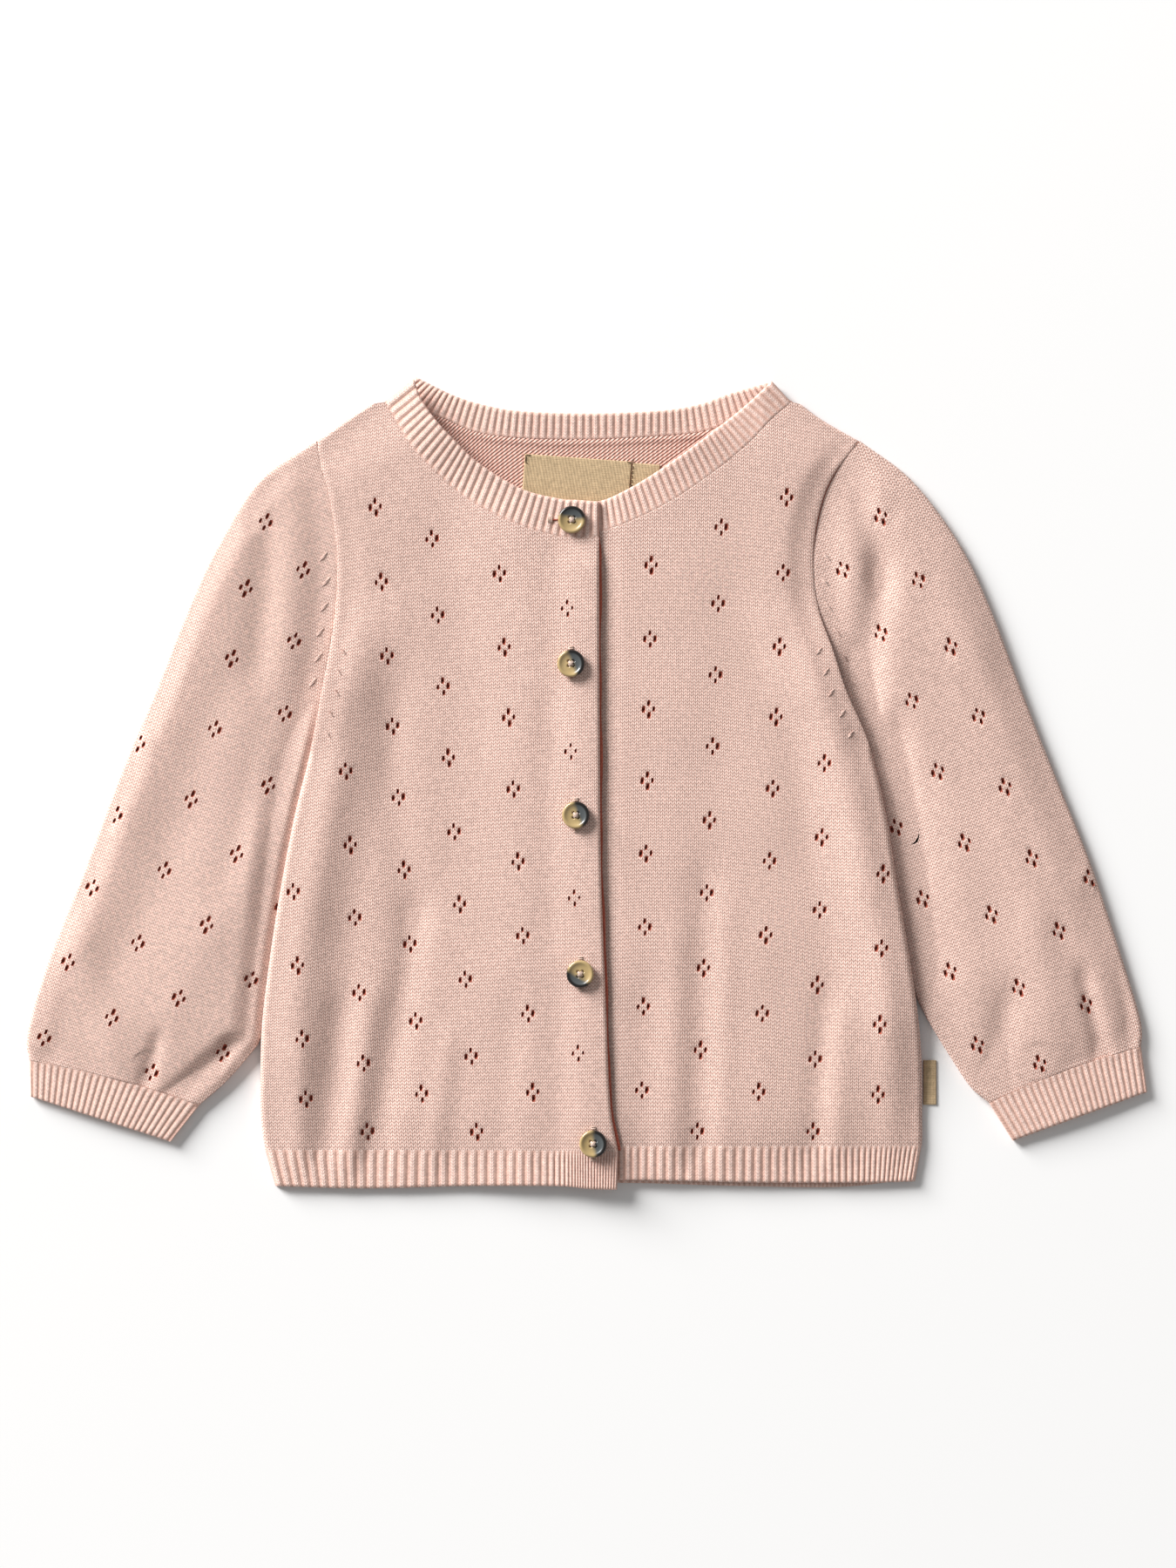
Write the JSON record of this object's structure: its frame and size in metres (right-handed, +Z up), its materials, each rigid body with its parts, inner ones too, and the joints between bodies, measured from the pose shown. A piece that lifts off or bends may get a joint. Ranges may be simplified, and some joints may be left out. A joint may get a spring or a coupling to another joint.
{
  "type": "baby cardigan",
  "caption": "Baby cardigan of fine cotton knit with small eyelets, ribbed round neck, cuffs and hem, buttoned at the front and laid flat.",
  "frame": {"origin": "middle of the cardigan's box on the surface it lies on", "axes": "+X to the viewer's right across the sleeves, +Y towards the neck, +Z up from the surface through the front"},
  "size_m": [0.4636, 0.336, 0.0111],
  "materials": {
    "cotton_knit": "matte fine-gauge jersey knit in pale pink cotton",
    "cotton_rib": "matte single rib knit in pale pink cotton",
    "woven_label": "matte woven tape in beige",
    "horn_button": "polished polyester with a horn look, tan with a dark part"
  },
  "bodies": {
    "root": {"back_panel": "cotton_knit", "right_front": "cotton_knit", "left_front": "cotton_knit", "left_sleeve": "cotton_knit", "right_sleeve": "cotton_knit", "right_hem": "cotton_rib", "left_hem": "cotton_rib", "back_hem": "cotton_rib", "left_cuff": "cotton_rib", "right_cuff": "cotton_rib", "right_neckband": "cotton_rib", "left_neckband": "cotton_rib", "back_neckband": "cotton_rib", "neck_label": "woven_label", "size_label": "woven_label", "side_tag": "woven_label", "button_1": "horn_button", "button_2": "horn_button", "button_3": "horn_button", "button_4": "horn_button", "button_5": "horn_button"}
  },
  "joints": []
}
